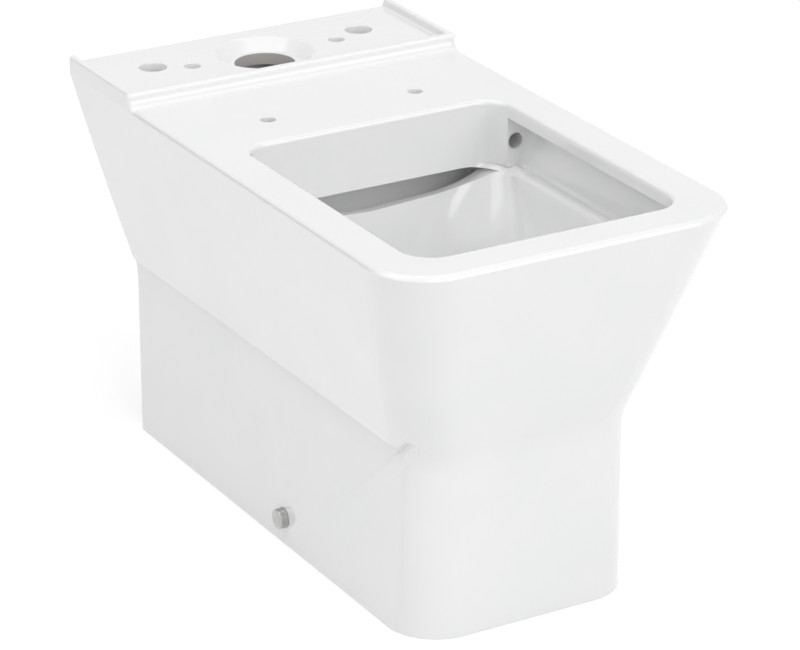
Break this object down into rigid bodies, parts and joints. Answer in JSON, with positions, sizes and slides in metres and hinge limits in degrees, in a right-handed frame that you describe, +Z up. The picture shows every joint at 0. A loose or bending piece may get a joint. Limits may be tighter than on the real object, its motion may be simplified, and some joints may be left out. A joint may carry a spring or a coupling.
{
  "type": "rimless toilet pan",
  "caption": "Back-to-wall toilet pan with a wide rectangular rimless bowl, a raised rear ledge for a cistern, a flared skirt and hidden side fixings under pull-off caps.",
  "frame": {"origin": "on the floor, under the middle of the whole pan's bounding box", "axes": "+Z up; the front of the bowl looks along -Y and the wall is at +Y; +X is the right side for someone who faces the front of the pan"},
  "size_m": [0.36, 0.6415, 0.404],
  "materials": {
    "ceramic": "smooth glossy white glaze",
    "chrome": "polished chrome plate",
    "steel": "bright zinc-plated steel",
    "plastic": "moulded nylon, light grey"
  },
  "bodies": {
    "toilet": {"pan": "ceramic", "left_fixing_bush": "plastic", "left_screw_washer": "steel", "left_fixing_screw": "steel", "left_floor_bracket": "plastic", "left_bracket_nut": "steel", "right_fixing_bush": "plastic", "right_screw_washer": "steel", "right_fixing_screw": "steel", "right_floor_bracket": "plastic", "right_bracket_nut": "steel"},
    "left_cap": {"left_fixing_cap": "chrome"},
    "right_cap": {"right_fixing_cap": "chrome"}
  },
  "joints": [
    {"name": "left_cap_pull", "type": "slide", "parent": "toilet", "child": "left_cap", "axis": [-1, 0, 0], "range_m": [0, 0.012]},
    {"name": "right_cap_pull", "type": "slide", "parent": "toilet", "child": "right_cap", "axis": [1, 0, 0], "range_m": [0, 0.012]}
  ]
}
